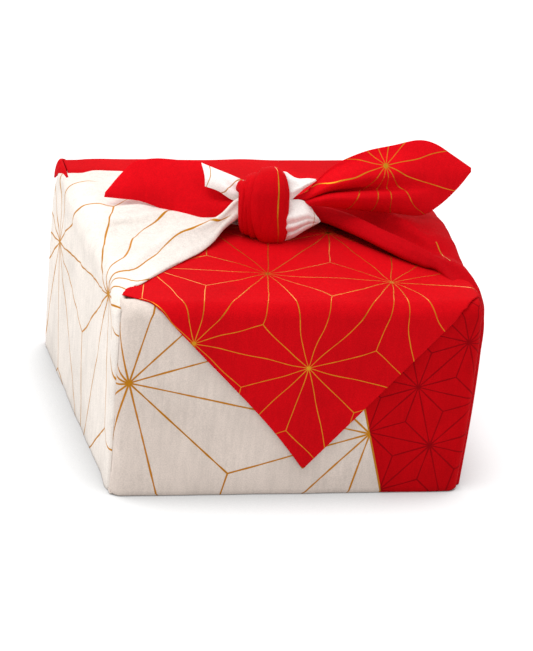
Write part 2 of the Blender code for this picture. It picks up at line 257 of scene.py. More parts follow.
LOWER_LAY = table(
    Lay,
    (0.10, 0.12, 0.05), (0.20, 0.20, -0.03),
    (0.30, 0.32, 0.05), (0.42, 0.42, 0.00),
    (0.55, 0.56, 0.05), (0.75, 0.74, -0.01),
)

# The far corner's lattice of the printed hemp-leaf pattern, in millimetres of flat cloth.
RED_TOP = Lattice((0, 0), 0, 68.5)

# The line on the near corner where the print changes colour: a point of it, and its turn.
BOUNDARY = (44.0, 36.9)
BOUNDARY_TURN = -74.2


# ---- curves and ripples


def spline(knots, values, at):
    """Smooth values between knots that needn't be evenly spaced, along the first axis."""
    knots = np.asarray(knots, float)
    values = np.asarray(values, float)
    gaps = np.diff(knots)
    shape = (-1,) + (1,) * (values.ndim - 1)
    slopes = np.diff(values, axis=0) / gaps.reshape(shape)
    before, after = gaps[:-1].reshape(shape), gaps[1:].reshape(shape)
    middle = (after * slopes[:-1] + before * slopes[1:]) / (before + after)
    tangents = np.concatenate([slopes[:1], middle, slopes[-1:]])
    at = np.clip(np.asarray(at, float), knots[0], knots[-1])
    i = np.clip(np.searchsorted(knots, at, side="right") - 1, 0, len(knots) - 2)
    gap = gaps[i].reshape(shape)
    f = ((at - knots[i]) / gaps[i]).reshape(shape)
    return (
        values[i] * (2 * f**3 - 3 * f**2 + 1)
        + values[i + 1] * (3 * f**2 - 2 * f**3)
        + tangents[i] * gap * (f**3 - 2 * f**2 + f)
        + tangents[i + 1] * gap * (f**3 - f**2)
    )


def smooth_table(rows, count):
    """A table's rows, read at count even places along it, as an array."""
    return spline(np.arange(len(rows)), np.array(rows, float), np.linspace(0, len(rows) - 1, count))


def smoothstep(value, low, high):
    """A smooth step from 0 at low to 1 at high."""
    f = np.clip((value - low) / (high - low), 0.0, 1.0)
    return f * f * (3 - 2 * f)


def between(low, high, share):
    """The value at a share of the way from low to high."""
    return low + (high - low) * share


def ripple(waves, along, across):
    """A sum of waves over two lengths in millimetres, each wave with its own two pitches."""
    total = 0.0
    for wave in waves:
        turn = along / wave.along + across / wave.across + wave.phase
        total = total + wave.size * np.sin(2 * math.pi * turn)
    return total


def run_along(points):
    """The length of a line of points, from its first point to each of them."""
    steps = np.linalg.norm(np.diff(points, axis=0), axis=1)
    return np.concatenate([[0.0], np.cumsum(steps)])


def unit(vectors):
    """The vectors at length 1."""
    return vectors / np.maximum(np.linalg.norm(vectors, axis=-1, keepdims=True), 1e-9)


def grid_normals(grid):
    """The normals of a grid of points, right-handed from its rows to its columns."""
    return unit(np.cross(np.gradient(grid, axis=0), np.gradient(grid, axis=1)))


# ---- meshes


def add_object(name, data):
    """A new object of the scene."""
    added = bpy.data.objects.new(name, data)
    bpy.context.scene.collection.objects.link(added)
    return added


def cell_corners(values, flip):
    """The values at the four corners of each cell of a grid, in the order of the cell's face."""
    corners = [values[:-1, :-1], values[:-1, 1:], values[1:, 1:], values[1:, :-1]]
    return np.stack(corners[::-1] if flip else corners, axis=2)


def cloth_piece(name, grid, flat, material, round_grid=False, thick=THICKNESS, flip=False):
    """A sheet through a grid of points, with its place on the flat cloth as UV, in metres."""
    index = np.arange(grid[..., 0].size).reshape(grid.shape[:2])
    if round_grid:
        index = np.concatenate([index, index[:, :1]], axis=1)
        flat = np.concatenate([flat, 2 * flat[:, -1:] - flat[:, -2:-1]], axis=1)
    faces = cell_corners(index, flip).reshape(-1, 4)
    mesh = bpy.data.meshes.new(name)
    mesh.from_pydata((grid.reshape(-1, 3) * MM).tolist(), [], faces.tolist())
    places = cell_corners(flat, flip).reshape(-1, 2) * MM
    layer = mesh.uv_layers.new(name="Cloth")
    layer.data.foreach_set("uv", places.astype(np.float32).ravel())
    mesh.shade_smooth()
    mesh.materials.append(material)
    mesh.update()
    piece = add_object(name, mesh)
    if thick:
        body = piece.modifiers.new("Thickness", "SOLIDIFY")
        body.thickness = thick * MM
        body.offset = -1.0
        body.use_even_offset = False
    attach(piece, "root")
    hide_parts(NODE)
    return piece


# ---- materials


class Wires:
    """Adds shader nodes to a tree, and links each input that is a socket or sets it."""

    def __init__(self, tree):
        self.tree = tree

    def node(self, kind, inputs=(), **settings):
        node = self.tree.nodes.new("ShaderNode" + kind)
        for key, value in settings.items():
            setattr(node, key, value)
        for key, value in dict(inputs).items():
            if isinstance(value, bpy.types.NodeSocket):
                self.tree.links.new(value, node.inputs[key])
            else:
                node.inputs[key].default_value = value
        return node

    def math(self, operation, *values):
        node = self.node("Math", dict(enumerate(values)), operation=operation)
        return node.outputs[0]

    def vector(self, operation, *values, output=0):
        node = self.node("VectorMath", dict(enumerate(values)), operation=operation)
        return node.outputs[output]

    def scaled(self, vector, factor):
        node = self.node("VectorMath", {0: vector, "Scale": factor}, operation="SCALE")
        return node.outputs[0]

    def parts(self, vector):
        return self.node("SeparateXYZ", {0: vector}).outputs

    def ramp(self, value, low, high, to_low=0.0, to_high=1.0):
        inputs = {"Value": value, "From Min": low, "From Max": high, "To Min": to_low, "To Max": to_high}
        return self.node("MapRange", inputs, interpolation_type="SMOOTHSTEP").outputs[0]

    def noise(self, where, scale, detail=2.0, roughness=0.5, output="Fac"):
        inputs = {"Vector": where, "Scale": scale, "Detail": detail, "Roughness": roughness}
        return self.node("TexNoise", inputs).outputs[output]

    def mix(self, share, first, second, **settings):
        """Mixes two colours, each a socket or three numbers."""
        colours = [c if isinstance(c, bpy.types.NodeSocket) else (*c, 1.0) for c in (first, second)]
        inputs = {0: share, 6: colours[0], 7: colours[1]}
        return self.node("Mix", inputs, data_type="RGBA", **settings).outputs[2]


def hemp_leaf_group():
    """Distance to the nearest line, and to the nearest star, of a hemp-leaf lattice of pitch 1."""
    group = bpy.data.node_groups.new("hemp_leaf", "ShaderNodeTree")
    group.interface.new_socket("Place", in_out="INPUT", socket_type="NodeSocketVector")
    for name in ("Line", "Star"):
        group.interface.new_socket(name, in_out="OUTPUT", socket_type="NodeSocketFloat")
    wires = Wires(group)
    place = group.nodes.new("NodeGroupInput").outputs[0]
    half = (0.5, math.sqrt(3) / 2, 1.0)
    low = tuple(-side for side in half)
    first = wires.vector("WRAP", place, half, low)
    shifted = wires.vector("SUBTRACT", place, (half[0], half[1], 0.0))
    second = wires.vector("WRAP", shifted, half, low)
    first_far = wires.vector("LENGTH", first, output=1)
    second_far = wires.vector("LENGTH", second, output=1)
    nearer = wires.math("LESS_THAN", second_far, first_far)
    mix = wires.node("Mix", {0: nearer, 4: first, 5: second}, data_type="VECTOR")
    parts = wires.parts(mix.outputs[1])
    turn = wires.math("ARCTAN2", parts[1], parts[0])
    off_ray = wires.math("PINGPONG", turn, math.pi / 12)
    star = wires.math("MINIMUM", first_far, second_far)
    line = wires.math("MULTIPLY", star, wires.math("SINE", off_ray))
    out = group.nodes.new("NodeGroupOutput")
    group.links.new(line, out.inputs[0])
    group.links.new(star, out.inputs[1])
    return group


HEMP_LEAF = hemp_leaf_group()

# A print: how soft its lines and stars are at the edge, in millimetres, how its lines' width
# varies, and where and how far distances shrink on a gathered strand, so that lines widen there.
LINE_EDGE = 0.18
STAR_EDGE = 0.4
UNEVEN = (0.75, 1.2)
GATHER_RUN = (0.140, 0.175)
GATHERED = 0.62


def printed(wires, uv, one, gathered):
    """The mask of a print's lines and stars."""
    lattice = one.lattice
    moved = wires.vector("SUBTRACT", uv, (lattice.origin[0] * MM, lattice.origin[1] * MM, 0.0))
    spin = {"Vector": moved, "Angle": math.radians(-lattice.turn)}
    turned = wires.node("VectorRotate", spin, rotation_type="Z_AXIS").outputs[0]
    place = wires.scaled(turned, 1.0 / (lattice.pitch * MM))
    group = wires.node("Group", node_tree=HEMP_LEAF)
    wires.tree.links.new(place, group.inputs[0])
    near_line = wires.math("MULTIPLY", group.outputs[0], lattice.pitch)
    near_star = wires.math("MULTIPLY", group.outputs[1], lattice.pitch)
    near_line = wires.math("DIVIDE", near_line, wires.ramp(wires.noise(uv, 90.0), 0.3, 0.7, *UNEVEN))
    if gathered:
        shrink = wires.ramp(wires.parts(uv)[1], *GATHER_RUN, 1.0, GATHERED)
        near_line = wires.math("MULTIPLY", near_line, shrink)
    half = one.width / 2
    line = wires.ramp(near_line, half + LINE_EDGE, max(half - LINE_EDGE, 0.0))
    star = wires.ramp(near_star, one.star + STAR_EDGE, one.star - STAR_EDGE)
    return wires.math("MAXIMUM", line, star)


def bare_back(wires, _, where):
    """Where the far corner has no print: the back part of the top."""
    parts = wires.parts(where)
    far = wires.ramp(parts[1], 0.028, 0.040)
    high = wires.ramp(parts[2], 0.111, 0.113)
    return wires.math("MULTIPLY", far, high)


def bare_strand(wires, uv, _):
    """Where the left corner has no print: the back part of its strand, and near the knot."""
    parts = wires.parts(uv)
    high = wires.ramp(parts[1], 0.121, 0.126)
    back = wires.ramp(parts[0], 0.010, 0.020)
    knot = wires.ramp(parts[1], 0.184, 0.189)
    return wires.math("MAXIMUM", wires.math("MULTIPLY", high, back), knot)


def bare_right(wires, uv, _):
    """Where the right corner has no print: all but a short length of a line on its strand."""
    away = wires.vector("DISTANCE", uv, (-0.040, 0.1213, 0.0), output=1)
    return wires.ramp(away, 0.0117, 0.0125)


def past_boundary(wires, uv):
    """How far, in metres, a place on the near corner is past the line where its colour changes."""
    turn = math.radians(BOUNDARY_TURN)
    across = (-math.sin(turn), math.cos(turn), 0.0)
    edge = wires.vector("SUBTRACT", uv, (BOUNDARY[0] * MM, BOUNDARY[1] * MM, 0.0))
    return wires.vector("DOT_PRODUCT", edge, across, output=1)


# The cotton: its colour's share in darker patches, where the rule along a boundary starts to fade
# and where it ends, in metres, the pitch of its threads, in millimetres, and how rough it is.
PATCH_SHADE = 0.87
RULE = 0.0003
RULE_END = 0.0007
THREAD = 0.62
ROUGH = 0.82
GOLD_ROUGH = 0.34


def clouded(wires, cloudy, colour):
    """A colour with darker patches."""
    return wires.mix(cloudy, colour, tuple(PATCH_SHADE * part for part in colour))


def cotton(name, prints, base, second=None, wobble=0, bare=None):
    """Matt woven cotton. Where it has a second colour, a print of side -1 lies before its boundary
    and one of side 1 past it. wobble is how far a print strays from its lattice, in millimetres."""
    material = bpy.data.materials.new(name)
    material.use_nodes = True
    tree = material.node_tree
    tree.nodes.clear()
    wires = Wires(tree)
    uv = wires.node("UVMap", uv_map="Cloth").outputs[0]
    where = wires.node("TexCoord").outputs["Object"]
    drawn = uv
    if wobble:
        drift = wires.vector("SUBTRACT", wires.noise(where, 38.0, 1.0, output="Color"), (0.5, 0.5, 0.5))
        drift = wires.vector("MULTIPLY", drift, (wobble * MM, wobble * MM, 0.0))
        drawn = wires.vector("ADD", uv, drift)
    cloudy = wires.ramp(wires.noise(where, 24.0, 5.0, 0.62), 0.35, 0.72)
    colour = clouded(wires, cloudy, base)
    if second:
        offset = past_boundary(wires, drawn)
        past = wires.ramp(offset, -RULE, RULE)
        colour = wires.mix(past, colour, clouded(wires, cloudy, second))
        off_rule = wires.math("ABSOLUTE", wires.math("ADD", offset, RULE))
        rule = wires.ramp(off_rule, RULE_END, RULE)
    gloss = None
    for one in prints:
        mask = printed(wires, drawn, one, bare is bare_strand)
        if bare:
            mask = wires.math("MULTIPLY", mask, wires.math("SUBTRACT", 1.0, bare(wires, uv, where)))
        if one.side > 0:
            mask = wires.math("MULTIPLY", mask, past)
        elif one.side < 0:
            mask = wires.math("MULTIPLY", mask, wires.math("SUBTRACT", 1.0, past))
            mask = wires.math("MAXIMUM", mask, rule)
        colour = wires.mix(mask, colour, one.ink)
        if one.shine:
            gloss = wires.math("MAXIMUM", gloss or 0.0, wires.math("MULTIPLY", mask, one.shine))
    slub = wires.vector("MULTIPLY", where, (420.0, 420.0, 60.0))
    slub = wires.ramp(wires.noise(slub, 1.0), 0.3, 0.7, 0.96, 1.03)
    fibre = wires.ramp(wires.noise(where, 1400.0), 0.2, 0.8)
    speck = wires.math("MULTIPLY", wires.ramp(fibre, 0.0, 1.0, 0.92, 1.06), slub)
    grey = wires.node("CombineColor", {0: speck, 1: speck, 2: speck}).outputs[0]
    bright = wires.mix(1.0, colour, grey, blend_type="MULTIPLY")
    threads = wires.parts(wires.scaled(uv, 2 * math.pi / (THREAD * MM)))
    weave = wires.math("MULTIPLY", *(wires.math("SINE", thread) for thread in threads[:2]))
    relief = wires.math("MULTIPLY_ADD", weave, 0.12, wires.noise(where, 900.0, 3.0))
    bump = wires.node("Bump", {"Height": relief, "Strength": 0.35, "Distance": 0.00012})
    finish = {"Base Color": bright, "Normal": bump.outputs[0], "Specular IOR Level": 0.03}
    if gloss:
        finish["Metallic"] = gloss
    finish["Roughness"] = wires.ramp(gloss, 0.0, 0.5, ROUGH, GOLD_ROUGH) if gloss else ROUGH
    shader = wires.node("BsdfPrincipled", finish)
    out = wires.node("OutputMaterial")
    tree.links.new(shader.outputs[0], out.inputs[0])
    return material


# The near corner's white is a darker copy of the side's white cloth: painted shade for the front face,
# which the key lamp hardly lights.
SHADED_WHITE = (0.68, 0.59, 0.53)
WHITE = (0.80, 0.74, 0.685)
# The knot's bights and the sliver beside the left end use a brighter copy of the same white cloth:
# painted light, so that they read as brightly lit.
LIT_KNOT_WHITE = (0.88, 0.84, 0.81)
RED = (0.57, 0.0022, 0.006)
DEEP_RED = (0.47, 0.0012, 0.004)
# The free ends use a brighter copy of the red cloth: painted light, for ends that face up towards the
# key lamp.
LIT_TAIL_RED = (0.66, 0.0030, 0.008)
SHADED_RED = (0.45, 0.0014, 0.005)
GOLD = (0.44, 0.175, 0.010)
STRAND_GOLD = (0.50, 0.21, 0.008)
BRIGHT_GOLD = (0.52, 0.235, 0.014)
DARK_RED = (0.245, 0.0008, 0.003)

# The prints: each has a lattice in millimetres of flat cloth, its lines' width, its stars' radius,
# and its colour. The knot's bands and lobes show only a line or two.
band_print = Print(Lattice((12.6, -60), 30, 200), 0.5, 0.0, BRIGHT_GOLD, 1.0)
lobe_print = Print(Lattice((9, -70), 20, 170), 0.4, 0.0, GOLD)
sliver_print = Print(Lattice((-44, 12), 0, 60), 0.5, 0.0, GOLD)

near_prints = (
    Print(Lattice((-93.2, 69.1), -13.2, 140.9), 1.0, 2.0, GOLD, side=-1),
    Print(Lattice((42.6, 38), -13.6, 37.3), 0.75, 1.3, DARK_RED, 0.0, side=1),
)
far_print = Print(RED_TOP, 0.36, 1.3, BRIGHT_GOLD, 1.0)
left_print = Print(Lattice((-58.7, 103.1), -11.4, 128.9), 1.05, 1.7, STRAND_GOLD)
right_print = Print(Lattice((0, 123.4), 3, 200), 0.36, 1.4, BRIGHT_GOLD, 1.0)
tail_print = Print(Lattice((63.5, 36.8), 14, 92), 0.34, 1.4, BRIGHT_GOLD, 1.0)

near_cotton = cotton("cotton_near", near_prints, SHADED_WHITE, second=DEEP_RED)
side_cotton = cotton("cotton_white_gold", [left_print], WHITE, wobble=3, bare=bare_strand)
sliver_cotton = cotton("cotton_white_sliver", [sliver_print], LIT_KNOT_WHITE, wobble=14)
lobe_cotton = cotton("cotton_white_knot", [lobe_print], LIT_KNOT_WHITE, wobble=3)
band_cotton = cotton("cotton_red_band", [band_print], RED, wobble=3)
far_cotton = cotton("cotton_red_gold", [far_print], RED, wobble=3.5, bare=bare_back)
tail_cotton = cotton("cotton_red_tail", [tail_print], LIT_TAIL_RED, wobble=6)
right_cotton = cotton("cotton_red_side", [right_print], SHADED_RED, wobble=1.5, bare=bare_right)
plain_red = cotton("cotton_red_reverse", [], RED)
back_red = cotton("cotton_red_left_end", [], LIT_TAIL_RED)


# ---- the wrapped box


def side_reach(sign, y, z):
    """How far the left (-1) or right (1) face stands from the middle plane, without its tucks."""
    front, back = (LEFT_FRONT, LEFT_BACK) if sign < 0 else (RIGHT_FRONT, RIGHT_BACK)
    share = (y + HALF_DEPTH) / (2 * HALF_DEPTH)
    up = z / HEIGHT
    reach = between(*front, up) * (1 - share) + between(*back, up) * share
    if sign > 0:
        inside = np.clip((y + HALF_DEPTH - TUCK) / 1.8, 0.0, 1.0)
        reach = reach + RIGHT_PROUD * np.minimum(inside, 1 - share)
        reach = reach + RIGHT_FULL * np.sin(np.pi * np.clip(up, 0.0, 1.0))
    return reach


FACE_STEPS = 100
CORNER_STEPS = 8

# How the end of a panel is turned in at its tuck: how far in from the side, and how far along it.
TUCK_CURL = np.array([(3.0, 0.3), (1.6, -0.35), (0.6, -0.2), (0.1, 0.3), (0.0, 1.2)])


def wrap_section(half, z, inset):
    """The plan of a front (half < 0) or back panel at a height: out of the left tuck, round the
    corner, along the face, round the other corner and into the right tuck."""
    way = 1.0 if half > 0 else -1.0
    depth = abs(half) - inset
    left = side_reach(-1, way * depth, z) - inset
    right = side_reach(1, way * depth, z) - inset
    turn = np.linspace(0, math.pi / 2, CORNER_STEPS)
    tuck = depth - (TUCK if way < 0 else BACK_TUCK) + 0.9
    inward = np.concatenate([TUCK_CURL[:, 0], CORNER * (1 - np.cos(turn))])
    deep = np.concatenate([tuck + TUCK_CURL[:, 1], depth - CORNER * (1 - np.sin(turn))])
    face_x = np.linspace(-left + CORNER, right - CORNER, FACE_STEPS)[1:-1]
    x = np.concatenate([-left + inward, face_x, (right - inward)[::-1]])
    y = np.concatenate([deep, np.full_like(face_x, depth), deep[::-1]])
    return np.column_stack([x, y * way])


FACE_RIPPLE = table(
    Wave,
    (0.10, 61, 83, 0.1),
    (0.07, -37, 52, 0.4),
    (0.04, 23, -31, 0.7),
)

# The near corner: how far its sides draw in at most, how far its tucked ends curl down where it
# turns over the top edge, and how far back its last rows lie, under the far corner.
MOST_INSET = 0.8
CURL_DOWN = 4.0
UNDER_STEPS = (3, 6, 9, 13, 18)


def near_panel():
    """The near corner: up the front and over its top edge, under the far corner's point."""
    heights = [(0.25, 2.0, 0.0), (0.5, 0.8, 0.0), (1.6, 0.0, 0.0)]
    heights += [(z, 0.0, 0.0) for z in np.linspace(3.5, SHOULDER, 52)]
    for a in np.linspace(0, math.pi / 2, 10)[1:]:
        inset = RIDGE * (1 - math.cos(a))
        heights.append((SHOULDER + (RIDGE - 0.5) * math.sin(a), inset, a))
    grid = []
    flat = []
    for z, inset, a in heights:
        plan = wrap_section(-HALF_DEPTH, z, min(inset, MOST_INSET))
        if a > 0:
            plan[:, 1] += inset - min(inset, MOST_INSET)
        behind = plan[:, 1] + HALF_DEPTH - inset
        curl = CURL_DOWN * math.sin(a) * smoothstep(behind, 2.5, 6.0)
        grid.append(np.column_stack([plan, z - curl]))
        up = z if a == 0 else SHOULDER + RIDGE * a
        whole = wrap_section(-HALF_DEPTH, z, 0.0)
        run = run_along(whole)
        run -= np.interp(0.0, whole[10:-10, 0], run[10:-10])
        flat.append(np.column_stack([run, np.full(len(run), up)]))
    edge = grid[-1]
    sunk = 0.9 + 1.6 * smoothstep(np.abs(edge[:, 0]), 88, 97)
    for step in UNDER_STEPS:
        row = edge + (0, step, 0)
        row[:, 2] -= sunk * smoothstep(step, 2.5, 9.0)
        grid.append(row)
        flat.append(flat[-1] + (0, 3))
    grid = np.array(grid)
    flat = np.array(flat)
    normal = grid_normals(grid)
    facing = np.sign(normal[len(grid) // 2, grid.shape[1] // 2, 1])
    wobble = ripple(FACE_RIPPLE, flat[..., 0], flat[..., 1])
    grid = grid - normal * wobble[..., None] * facing
    piece = cloth_piece("near_corner", grid, flat, near_cotton)


def side_fall(x, y):
    """How far the top has curved down at x, where it runs over a side's rounded edge."""
    calm = 1 - smoothstep(y, 62, 74)
    right = np.maximum(x - (side_reach(1, y, HEIGHT) - RIDGE), 0)
    left = np.maximum(-x - (side_reach(-1, y, HEIGHT) - RIDGE), 0) * calm
    past = np.minimum(right + left, RIDGE)
    proud = 0.9 * smoothstep(past, 0.5, 6.0)
    return RIDGE - np.sqrt((RIDGE + proud) ** 2 - past**2)


def point_profile():
    """The far corner's way over the box, from the back's foot to the tip: y, z and outward."""
    back = HALF_DEPTH
    rows = [(back, z, 0.0) for z in np.linspace(0.3, HEIGHT - BACK_RIDGE, 46)]
    for a in np.linspace(0, math.pi / 2, 9)[1:]:
        y = back + BACK_RIDGE * (math.cos(a) - 1)
        rows.append((y, HEIGHT + BACK_RIDGE * (math.sin(a) - 1), a))
    for y in np.linspace(back - BACK_RIDGE, -back + RIDGE, 104)[1:]:
        rows.append((y, HEIGHT, math.pi / 2))
    for a in np.linspace(math.pi / 2, math.pi, 11)[1:]:
        rows.append((-back + RIDGE + RIDGE * math.cos(a), SHOULDER + RIDGE * math.sin(a), a))
    rows += [(-back, z, math.pi) for z in np.linspace(SHOULDER, TIP[1], 52)[1:]]
    return np.array(rows)


TOP_RIPPLE = table(
    Wave,
    (0.35, 71, 97, 0.15),
    (0.22, -43, 61, 0.5),
    (0.10, 29, -37, 0.8),
)

# Where the far corner starts to narrow, before the front's top edge.
NARROWS = -16.0


def far_edges(y, past, drop):
    """Where the far corner's left and right edges lie, at a run past the front's top edge. drop is
    the share of the hanging point above that place."""
    if past > 0:
        bow = POINT_BOW * math.sin(math.pi * drop**1.7)
        return between(POINT_LEFT, TIP_LEFT, drop) + bow, between(POINT_RIGHT, TIP_RIGHT, drop)
    left = TOP_LEFT - 2.1 * smoothstep(y, 66, 75)
    right = TOP_RIGHT
    if past > NARROWS:
        left = between(left, POINT_LEFT, smoothstep(past, NARROWS - 2.0, 2.0))
        right = between(right, POINT_RIGHT, smoothstep(past, NARROWS, 4.0))
    return left, right


def far_panel():
    """The far corner: up the back, over the top, and down the front as a hanging point."""
    profile = point_profile()
    turn = profile[:, 2]
    run = run_along(profile[:, :2])
    run -= np.interp(3 * math.pi / 4, turn, run)
    grid = []
    flat = []
    for (y, z, a), past in zip(profile, run):
        plan = wrap_section(HALF_DEPTH, z, min(HALF_DEPTH - abs(y), 4.0))
        left, right = far_edges(y, past, past / run[-1])
        flat_x = between(left, right, np.linspace(0, 1, len(plan)))
        over = smoothstep(a, 0.0, math.pi / 2)
        x = plan[:, 0] * (1 - over) + flat_x * over
        fall = over * (a <= math.pi / 2) * side_fall(x, y)
        grid.append(np.column_stack([x, plan[:, 1] * (1 - over) + y * over, z - fall]))
        flat.append(np.column_stack([flat_x, np.full(len(plan), past)]))
    grid = np.array(grid)
    past = np.array(flat)[..., 1]
    high = smoothstep(grid[..., 1], 25, 96) * smoothstep(grid[..., 2], 96.0, HEIGHT - 1.0)
    grid[..., 2] += BACK_RISE * high
    grid[..., 1] += 0.6 * high * smoothstep(grid[..., 1], 94.0, HALF_DEPTH)
    out = np.column_stack([0 * turn, np.cos(turn), np.sin(turn)])[:, None]
    on_front = smoothstep(past, -6, 8)
    width = np.linspace(0, 1, past.shape[1])
    edge = np.minimum(width, 1 - width)
    lift = 0.9 * on_front + 0.5 * on_front * smoothstep(past, 10, 90)
    lift = lift + 0.45 * on_front * np.exp(-edge * 30)
    wave = ripple(TOP_RIPPLE, grid[..., 0], past) * (1.0 - 0.6 * on_front) * 0.6
    grid = grid + out * (lift + wave)[..., None]
    on_top = (np.abs(turn - math.pi / 2) < 0.6)[:, None]
    for strand in (LEFT_STRAND, RIGHT_STRAND):
        grid[..., 2] -= on_top * sink_under(strand, grid[..., 0], grid[..., 1])
    piece = cloth_piece("far_corner", grid, far_places(grid, past), far_cotton)


def sink_under(strand, x, y):
    """How far the cloth that a strand hides is pressed down, so that it stays clear of it."""
    rows = sorted(strand, key=lambda row: row.x)
    places = [row.x for row in rows]
    front = np.interp(x, places, [row.front for row in rows])
    back = np.interp(x, places, [row.back for row in rows])
    near = smoothstep(np.abs(x), 34, 44) * (x * places[0] > 0)
    return 1.8 * near * smoothstep(y - front, 3, 12) * smoothstep(back - y, 2, 10)


def affine(sources, targets):
    """The affine map that takes three points to three points."""
    matrix = np.column_stack([np.array(sources, float), np.ones(3)])
    return np.linalg.solve(matrix, np.array(targets, float))


# The far corner's lattice: its two steps, and the stars seen, as (x, z) in front and (x, y) on top.
STEP = np.array([1.0, 0.0])
RISE = np.array([0.5, math.sqrt(3) / 2])
FRONT_STARS = ((4.9, 77.3), (-60.2, 93.3), (50.9, 125.3))
TOP_STARS = ((-11.8, -57.6), (55.9, -68.4), (34.3, -2.8))
HALF_ARC = RIDGE * math.pi / 4


def far_places(grid, past):
    """Where each point of the far corner lies on the printed lattice."""
    front_runs = [(x, SHOULDER - z + HALF_ARC) for x, z in FRONT_STARS]
    top_runs = [(x, -(y + HALF_DEPTH - RIDGE) - HALF_ARC) for x, y in TOP_STARS]
    front = affine(front_runs, [(0, 0), -STEP, RISE])
    top = affine(top_runs, [RISE - STEP, RISE, 2 * RISE - STEP])
    place = np.stack([grid[..., 0], past, np.ones_like(past)], axis=-1)
    blend = smoothstep(past, -26, 16)[..., None]
    return (place @ front * blend + place @ top * (1 - blend)) * RED_TOP.pitch


# ---- side panels and strands

# Where the 13 places of a side's section lie across the sheet, and where its columns are read.
SECTION_KNOTS = (0.0, 0.02, 0.05, 0.09, 0.14, 0.20, 0.27, 0.52, 0.72, 0.88, 0.95, 0.98, 1.0)
COLUMNS = np.concatenate(
    [np.linspace(0, 0.27, 46)[:-1], np.linspace(0.27, 0.95, 90), np.linspace(0.95, 1.0, 12)[1:]]
)


def face_section(front, back, soft):
    """A side face's plan at one height: a tucked edge, a soft fold beside it, the face, the same
    at the back. Each point is (y, outward)."""
    return [
        (front + 1.4, -3.2),
        (front - 0.3, -1.9),
        (front + 0.3, -0.2),
        (front + 2.2, 0.5 + 0.5 * soft),
        (front + 5.5, 0.5 + 0.8 * soft),
        (front + 10.0, 0.2 + 0.2 * soft),
        (front + 16.0, 0.1 - 0.3 * soft),
        (0.10 * front + 0.12 * back, 0.3 + 0.6 * soft),
        (0.50 * back, 0.2 + 0.2 * soft),
        (back - 9.0, 0.3 + 0.6 * soft),
        (back - 2.5, 0.2 + 0.4 * soft),
        (back + 0.2, -1.6),
        (back - 1.2, -3.2),
    ]


def strand_section(row, lip_rise):
    """A strand's section across its run, from the hem turned under its front to its back.
    lip_rise says how steeply its front edge rises."""
    rise = row.crest_up - row.foot
    lip = row.crest - row.front
    fall = row.back - row.puff
    return [
        (row.front + 1.4 * lip + 1.0, row.foot + 0.35 * rise),
        (row.front + 0.5 * lip, row.foot + 0.05 * rise),
        (row.front, row.foot + lip_rise[0] * rise),
        (row.front + 0.28 * lip, row.foot + lip_rise[1] * rise),
        (row.crest, row.crest_up),
        (0.5 * (row.crest + row.valley), 0.45 * row.crest_up + 0.55 * row.valley_up),
        (row.valley, row.valley_up),
        (row.puff, row.puff_up),
        (row.puff + 0.42 * fall, 0.82 * row.puff_up),
        (row.puff + 0.78 * fall, 0.50 * row.puff_up + 0.4),
        (row.back - 0.06 * fall, 0.22 * row.puff_up + 0.7),
        (row.back, 0.35 + 0.06 * row.puff_up),
        (row.back - 1.5, -0.4),
    ]


def back_swell(sign, y, up):
    """The loose cloth of the left face stands out towards its back edge."""
    if sign > 0:
        return 0.0
    corner = smoothstep(up, 0.78, 0.98) * smoothstep(y, 60, 85)
    return 2.4 * smoothstep(y, 10, 75) * up**0.5 * (1 - 0.5 * corner)


# The heights of a side face's sections, and the sections of the edge over it: how far each has
# turned over, and how much of the strand's section it has taken on.
FACE_LEVELS = (0.2, 20.0, 50.0, 80.0, SHOULDER - 6)
EDGE_TURNS = ((0.0, 0.15), (0.55, 0.45), (1.05, 0.75), (math.pi / 2, 0.9))

# On that edge, for each place of a section: the depth of the front's tuck, the power that holds
# the place back on its way to the strand's section, and how far the back sinks.
LEFT_TUCKS = (3.0, 2.0, 0.8) + (0.0,) * 10
RIGHT_TUCKS = (3.0, 1.6, 0.6) + (0.0,) * 10
LEFT_HUGS = (2.6, 2.5, 2.3, 2.0, 1.7, 1.2, 1.2, 1.2, 1.2, 1.6, 2.2, 2.2, 2.2)
RIGHT_HUGS = (1.2,) * 13
SINKS = (0.0,) * 9 + (0.3, 1.8, 1.8, 1.4)

# Where the right face's front part lies at the top edge, under the far corner's point.
RIGHT_UNDER = [(-88.0, -4.0), (-87.0, -2.6), (-78.0, -2.0), (-66.0, -1.2)]


def face_rows(sign):
    """The sections of a side face, at FACE_LEVELS."""
    rows = []
    for z in FACE_LEVELS:
        up = z / HEIGHT
        front = -(HALF_DEPTH - TUCK) + 1.0 + 1.8 * smoothstep(z, 70, 112)
        section = face_section(front, HALF_DEPTH - BACK_TUCK, 0.3 + 0.7 * up)
        reach = [side_reach(sign, y, z) + h + back_swell(sign, y, up) for y, h in section]
        rows.append([(sign * out, y, z) for out, (y, h) in zip(reach, section)])
    return rows


